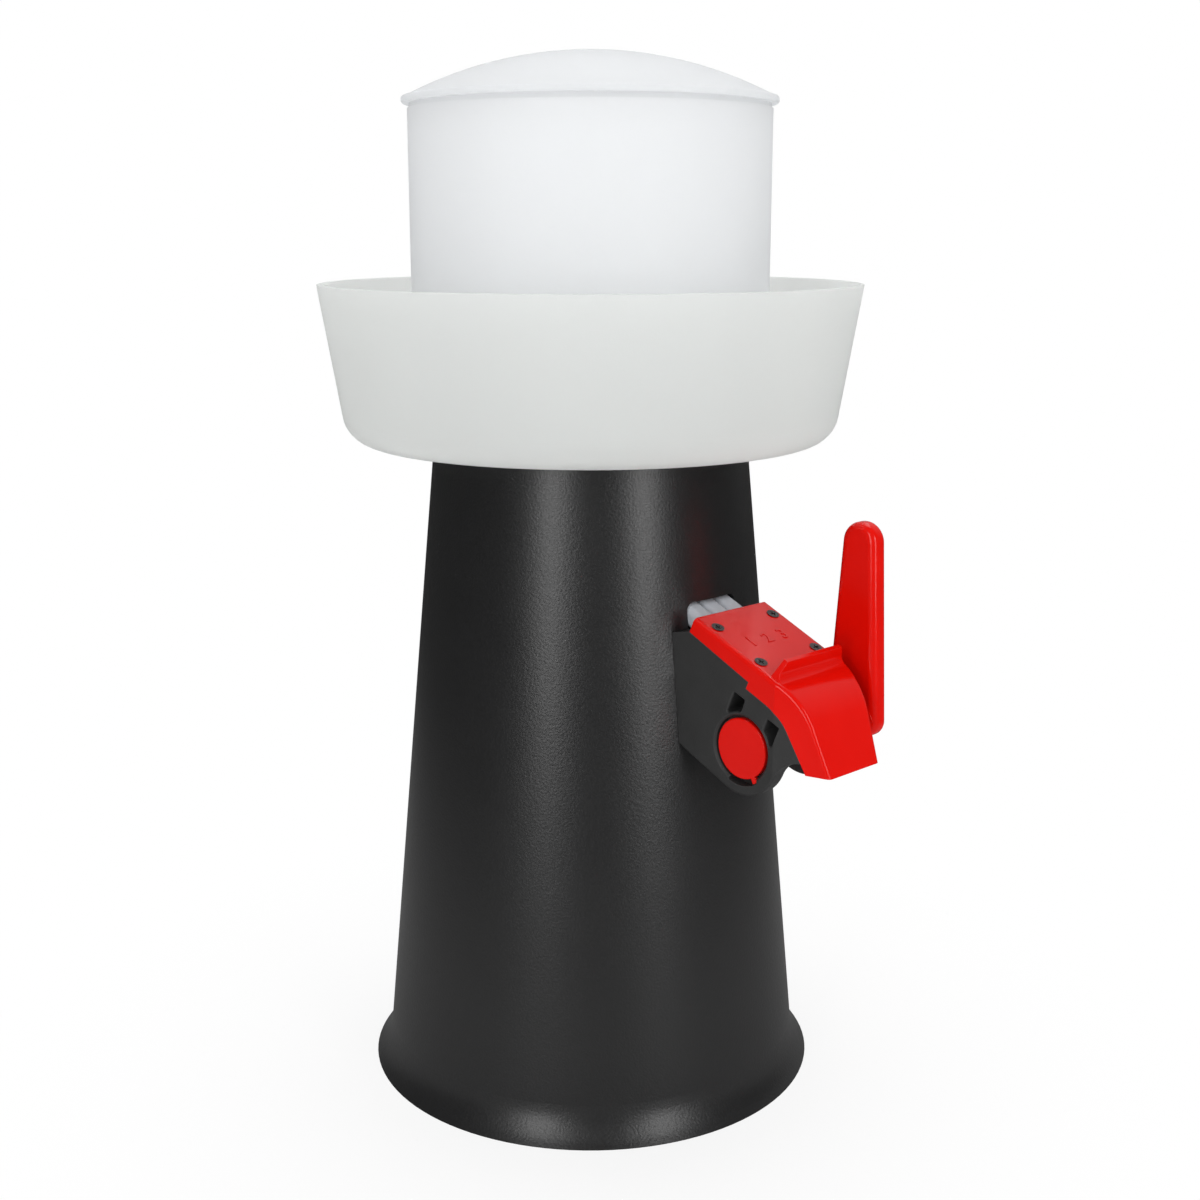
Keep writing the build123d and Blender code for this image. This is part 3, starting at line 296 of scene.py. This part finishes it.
def ramp(look, value, start, end, low=0.0, high=1.0):
    """Goes from low to high while a value goes from start to end."""
    span = {"From Min": start, "From Max": end, "To Min": low, "To Max": high}
    return look.node("MapRange", {}, {"Value": value, **span})


floor_half = 6.0
floor_corners = [
    (x * floor_half, y * floor_half, 0) for x, y in ((-1, -1), (1, -1), (1, 1), (-1, 1))
]
floor_mesh = bpy.data.meshes.new("floor")
floor_mesh.from_pydata(floor_corners, [], [(0, 1, 2, 3)])
floor = bpy.data.objects.new("floor", floor_mesh)
bpy.context.scene.collection.objects.link(floor)
card = Finish("white_card", {"Roughness": 0.9, "Specular IOR Level": 0.1})
tooth = card.grain(size=0.002)
card.tint(tooth, dark=(0.79, 0.79, 0.79), light=(0.81, 0.81, 0.81))
away = card.node("VectorMath", {"operation": "LENGTH"}, {0: card.place()}, out="Value")
near = card.node("BsdfDiffuse", {}, {"Color": (0.22, 0.22, 0.22, 1)})
far = card.node("BsdfDiffuse", {}, {"Color": (0.04, 0.04, 0.04, 1)})
dim = ramp(card, away, start=0.25, end=0.9)
dull = card.node("MixShader", {}, {0: dim, 1: near, 2: far})
off_gloss = ray(card, "Glossy") * (1 - ray(card, "Transmission"))
sheet = card.node("MixShader", {}, {0: off_gloss, 1: card.skin, 2: dull})
wash = ramp(card, away, start=0.12, end=0.3, low=0.8, high=1.0) * ray(card, "Camera")
card.cover(card.node("MixShader", {}, {0: wash, 1: sheet, 2: card.node("Emission")}))
floor_mesh.materials.append(card.material)


# Studio: a white backdrop behind the tower, with dimmer sides for what its gloss mirrors.
# That gloss finds most light up and behind the tower, a little to the right.
# The room casts less light than is seen of it, so that the lamps shape the tower.
camera_turn = -43.33
photo_side = Vector((sin(radians(camera_turn)), -cos(radians(camera_turn)), 0))
photo_right = Vector((cos(radians(camera_turn)), sin(radians(camera_turn)), 0))
up = Vector((0, 0, 1))
bright_side = 0.2 * photo_right - 0.75 * photo_side + 0.63 * up
cast = 0.88
world = bpy.data.worlds.new("studio")
bpy.context.scene.world = world
room = Look(world, "Background", "World Output")
sides = {0: room.node("TexCoord", out="Generated"), 1: bright_side}
facing = room.node("VectorMath", {"operation": "DOT_PRODUCT"}, sides, out="Value")
mirrored = ramp(room, facing, start=0.45, end=0.98, low=0.06, high=0.5)
seen = ray(room, "Camera") + ray(room, "Transmission")
glossy = ray(room, "Glossy")
unseen = glossy * mirrored + (1 - glossy) * cast
room.shader.inputs["Color"].default_value = (1, 1, 1, 1)
room.feed("Strength", seen + (1 - seen) * unseen)


# Lamps: two tall soft boxes beside the camera, whose streaks run down the column.
# A third, broad one hangs overhead and lights tank, bowl and plate. All aim at the column.
lamp_aim = 0.3 * up


def soft_box(name, turn, distance, height, size, power):
    """A rectangular lamp, turned round the column from the camera's side by an angle."""
    lamp = bpy.data.lights.new(name, "AREA")
    lamp.shape = "RECTANGLE"
    lamp.size, lamp.size_y = size
    lamp.energy = power
    box = bpy.data.objects.new(name, lamp)
    out = photo_side * cos(radians(turn)) + photo_right * sin(radians(turn))
    box.location = out * distance + height * up
    box.rotation_euler = (lamp_aim - box.location).to_track_quat("-Z", "Y").to_euler()
    box.visible_camera = False
    bpy.context.scene.collection.objects.link(box)


soft_box("left_box", turn=-26, distance=1.5, height=0.6, size=(0.4, 1.2), power=5)
soft_box("right_box", turn=36, distance=1.5, height=0.6, size=(0.4, 1.2), power=5.2)
soft_box("top_box", turn=180, distance=0.5, height=1.6, size=(1.4, 1.4), power=11)


# Camera: a plain lens at the photograph's place, a little above the bowl's rim.
# It looks down at the column and slightly past its axis.
camera_distance = 0.755
camera_height = 0.3946
camera_dip = 12.91
camera_past = 0.32
camera = bpy.data.cameras.new("camera")
camera.sensor_width = 36
camera.lens = 49.8
viewer = bpy.data.objects.new("camera", camera)
viewer.location = camera_distance * photo_side + camera_height * up
viewer.rotation_euler = (radians(90 - camera_dip), 0, radians(camera_turn - camera_past))
bpy.context.scene.collection.objects.link(viewer)
bpy.context.scene.camera = viewer
bpy.context.scene.view_settings.view_transform = "Standard"
